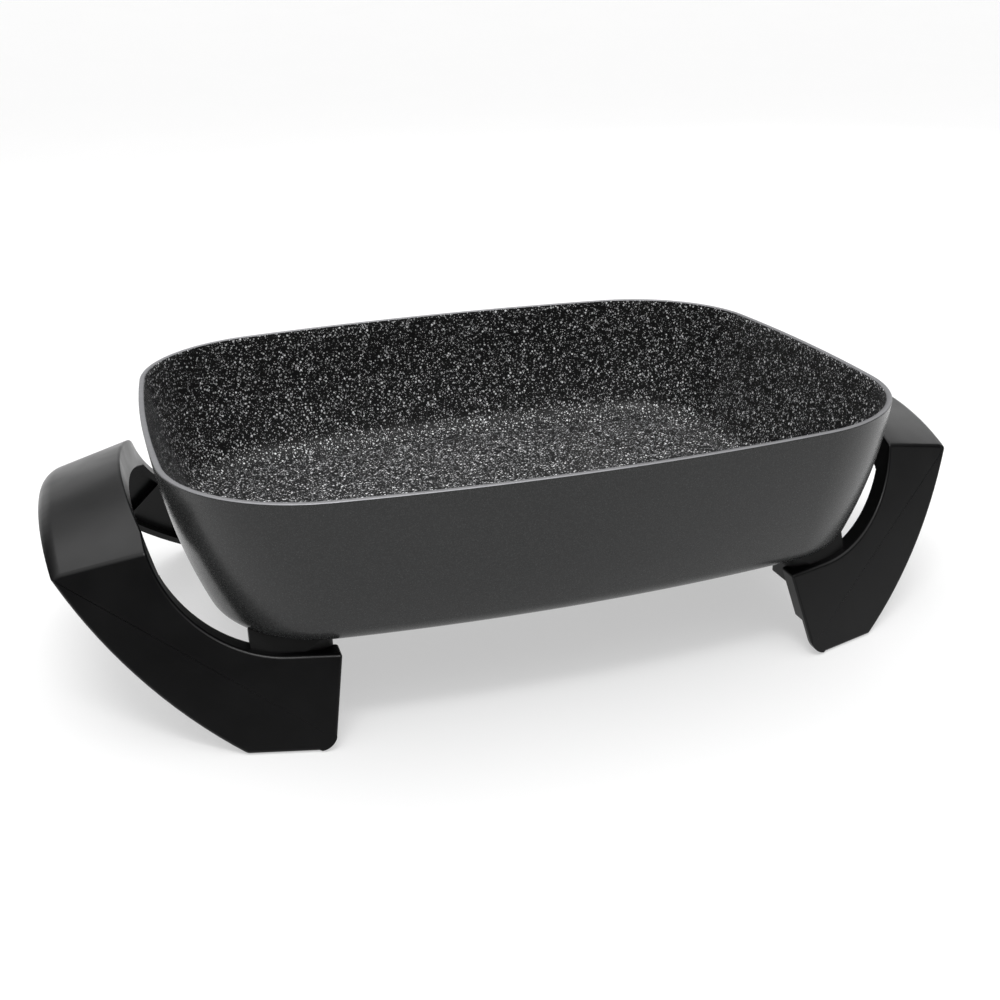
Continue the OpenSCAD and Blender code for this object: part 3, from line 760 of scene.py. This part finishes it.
def flatten_large_faces(mesh):
    """Gives the corners round each large face that face's own normal."""
    flat_at = {vert: Vector(face.normal) for face in mesh.polygons if face.area > large_face
               for vert in face.vertices}
    corners = [Vector(corner.vector) for corner in mesh.corner_normals]
    for loop in mesh.loops:
        flat = flat_at.get(loop.vertex_index)
        if flat and corners[loop.index].angle(flat) < near_flat:
            corners[loop.index] = flat
    mesh.normals_split_custom_set(corners)


def shaded_piece(name, shape):
    """Makes the shape a piece, smooth but for its crisp edges."""
    for face in shape.faces:
        face.smooth = True
    for edge in shape.edges:
        edge.smooth = edge.is_manifold and edge.calc_face_angle() < moulding_crisp_angle
    piece = new_piece(name, bpy.data.meshes.new(name))
    shape.to_mesh(piece.data)
    shape.free()
    weigh = piece.modifiers.new("weighted_normals", "WEIGHTED_NORMAL")
    weigh.keep_sharp = True
    mesh = modified_mesh(piece)
    piece.modifiers.clear()
    flatten_large_faces(mesh)
    piece.data = mesh
    piece.data.name = name
    return piece


# %% The two mouldings
for side in ("right", "left"):
    shape = merged_copy(side + "_handle")
    rounded = round_outer_edges(shape)
    moulding = shaded_piece(side + "_moulding", shape)
    moulding.data.materials.clear()
    moulding.data.materials.append(handle_black)
    dress(moulding, "phenolic", side + "_handle")
    print(moulding.name, rounded, "edges rounded,", len(moulding.data.polygons), "faces")

# %% [markdown]
# ## Bosses, washers and screws
#
# What is round is turned: an outline of a few points spun about the upright axis.
# What repeats is placed by a Geometry Nodes tree, which puts one turned piece on
# every point of a small mesh. The screws get their cross recess before that, cut
# with a Boolean, so the cut is made once and copied.

# %% A lathe and a tree that places copies
def turned(name, outline, steps=40):
    """Spins an outline of (radius, height) points about the upright axis."""
    shape = bmesh.new()
    points = [shape.verts.new((r, 0, z)) for r, z in outline]
    edges = [shape.edges.new(pair) for pair in zip(points, points[1:])]
    bmesh.ops.spin(shape, geom=points + edges, cent=(0, 0, 0), axis=(0, 0, 1), angle=2 * pi, steps=steps,
                   use_merge=True)
    bmesh.ops.remove_doubles(shape, verts=shape.verts, dist=0.00001)
    mesh = bpy.data.meshes.new(name)
    shape.to_mesh(mesh)
    shape.free()
    piece = new_piece(name, mesh)
    set_outward(piece)
    return piece


def copies_tree():
    tree, group_in, group_out = new_tree("copies_on_points", [("Piece", "Object"), ("Material", "Material")])
    pattern = tree.nodes.new("GeometryNodeObjectInfo")
    copies = tree.nodes.new("GeometryNodeInstanceOnPoints")
    tree.links.new(group_in.outputs["Piece"], pattern.inputs["Object"])
    tree.links.new(group_in.outputs["Geometry"], copies.inputs["Points"])
    tree.links.new(pattern.outputs["Geometry"], copies.inputs["Instance"])
    finish_tree(tree, copies.outputs["Instances"], group_in, group_out)
    return tree


copies = copies_tree()


def place_copies(pattern, places, finish, name):
    points = points_object(name + "_places", places, joined=False)
    piece = bake(points, copies, {"Piece": pattern, "Material": finish}, name)
    drop(points, pattern)
    print(name, len(places), "copies,", len(piece.data.polygons), "faces")
    return piece


boss_x, boss_y = 0.139, 0.109
guard_x, guard_y = 0.158, 0.038
leg_places = [(x, y) for x in (-boss_x, boss_x) for y in (-boss_y, boss_y)]
guard_places = [(guard_x, -guard_y), (guard_x, guard_y)]

# %% Cast bosses and the saddle for the probe's well
boss_flare, into_pan = 0.001, 0.0003


def boss(name, r, low):
    return turned(name, [(0, low), (r - edge_break, low), (r, low + edge_break), (r, bottom_z - boss_flare),
                         (r + boss_flare, bottom_z + into_pan), (0, bottom_z + into_pan)])


# Name, radius, height of the lower end, places
boss_sets = (("leg_boss", 0.0065, 0.0363, leg_places), ("guard_boss", 0.005, 0.0466, guard_places))
for name, r, low, places in boss_sets:
    bosses = place_copies(boss(name, r, low), [(x, y, 0) for x, y in places], paint, name + "es")
    dress(bosses, "cast_pan", "pan")

saddle_r, saddle_x0, saddle_x1 = 0.008, 0.104, 0.145
saddle_steps = 16
saddle_turns = [pi * k / saddle_steps for k in range(saddle_steps + 1)]
saddle_section = points_object("saddle_section", [(saddle_r, -high_z, 0)] + [
    (saddle_r * cos(a), -socket_z + saddle_r * sin(a), 0) for a in saddle_turns] + [
    (-saddle_r, -high_z, 0)], closed=True)
path = points_object("saddle_path", [(saddle_x0, 0, 0), (saddle_x1, 0, 0)])
saddle = bake(path, sweep, {"Profile": saddle_section, "Material": paint}, "probe_saddle")
drop(path, saddle_section)
set_outward(saddle)
dress(saddle, "cast_pan", "pan")
print("probe saddle:", len(saddle.data.polygons), "faces")

# %% Washers
washer_r, washer_hole, washer_t = 0.0085, 0.0026, 0.0012
washer_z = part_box("leg_washers")[0].z
soft = 0.0003
washer = turned("washer", [
    (washer_hole, soft), (washer_hole + soft, 0), (washer_r - soft, 0), (washer_r, soft),
    (washer_r, washer_t - soft), (washer_r - soft, washer_t), (washer_hole + soft, washer_t),
    (washer_hole, washer_t - soft), (washer_hole, soft)])
washers = place_copies(washer, [(x, y, washer_z) for x, y in leg_places], zinc, "washers")
dress(washers, "screws", "leg_washers")


# %% Screws, head down, with a cross recess
recess_taper = 0.7


def cross_cutter(arm, width, depth, low):
    """A plus-shaped block round the axis, to cut the recess from below; it narrows inwards."""
    a, w = arm / 2, width / 2
    plus = [(a, -w), (a, w), (w, w), (w, a), (-w, a), (-w, w),
            (-a, w), (-a, -w), (-w, -w), (-w, -a), (w, -a), (w, -w)]
    shape = bmesh.new()
    base = shape.faces.new([shape.verts.new((x, y, low - depth)) for x, y in plus])
    risen = bmesh.ops.extrude_face_region(shape, geom=[base])["geom"]
    for vert in risen:
        if isinstance(vert, bmesh.types.BMVert):
            vert.co.z = low + depth
            vert.co.xy *= recess_taper
    bmesh.ops.recalc_face_normals(shape, faces=shape.faces)
    mesh = bpy.data.meshes.new("recess")
    shape.to_mesh(mesh)
    shape.free()
    return new_piece("recess", mesh)


def pan_head_screw(name, head_d, head_h, shank_r, shank_l):
    r, rim = head_d / 2, 0.3 * head_h
    dome = [(0.66 * r + 0.34 * r * sin(a), -rim - (head_h - rim) * cos(a)) for a in np.linspace(0, pi / 2, 7)]
    outline = [(0, -head_h)] + dome + [(r, -soft), (r - soft, 0), (shank_r, 0), (shank_r, shank_l - shank_r),
                                       (0.3 * shank_r, shank_l), (0, shank_l)]
    screw = turned(name, outline)
    cutter = cross_cutter(0.62 * head_d, 0.15 * head_d, 0.5 * head_h, -head_h)
    cut = screw.modifiers.new("recess", "BOOLEAN")
    cut.operation, cut.solver, cut.object = "DIFFERENCE", "EXACT", cutter
    mesh = modified_mesh(screw)
    screw.modifiers.clear()
    screw.data = mesh
    set_outward(screw)
    drop(cutter)
    return screw


grip_x, grip_y = 0.238, 0.038
# Head's diameter and height, shank's radius and length
leg_sizes, guard_sizes = (0.0096, 0.0036, 0.0021, 0.011), (0.0076, 0.0026, 0.00165, 0.007)
grip_sizes = (0.006, 0.002, 0.00125, 0.009)
screw_sets = (
    ("leg_screw_set", "leg_screws", leg_sizes, leg_places),
    ("guard_screw_set", "socket_guard_screws", guard_sizes, guard_places),
    ("right_grip_screw_set", "right_grip_screws", grip_sizes, [(grip_x, -grip_y), (grip_x, grip_y)]),
    ("left_grip_screw_set", "left_grip_screws", grip_sizes, [(-grip_x, -grip_y), (-grip_x, grip_y)]))
for name, node, sizes, places in screw_sets:
    seat_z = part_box(node)[0].z + sizes[1]
    screws = place_copies(pan_head_screw("screw", *sizes), [(x, y, seat_z) for x, y in places], zinc, name)
    dress(screws, "screws", node)

# %% [markdown]
# ## Pieces carried over from the frame
#
# Beads, pins, the probe's well, the guard, the covers, the pads and the feet are
# small exact shapes whose CAD meshes already shade smoothly. They keep their
# meshes and get a finish.

# %% Finishes for the carried-over pieces
carried = {
    "front_terminal_insulator": bead_white, "rear_terminal_insulator": bead_white,
    "front_terminal_pin": pin_plate, "rear_terminal_pin": pin_plate, "probe_well": well_metal,
    "socket_guard": handle_black, "right_grip_cover": handle_black, "left_grip_cover": handle_black,
    "right_front_heat_spacer": spacer_black, "right_rear_heat_spacer": spacer_black,
    "left_front_heat_spacer": spacer_black, "left_rear_heat_spacer": spacer_black,
    "right_front_foot": rubber_black, "right_rear_foot": rubber_black,
    "left_front_foot": rubber_black, "left_rear_foot": rubber_black}
for name, finish in carried.items():
    slots = nodes[name].data.materials
    for index in range(len(slots)):
        slots[index] = finish
print("carried over:", len(carried))
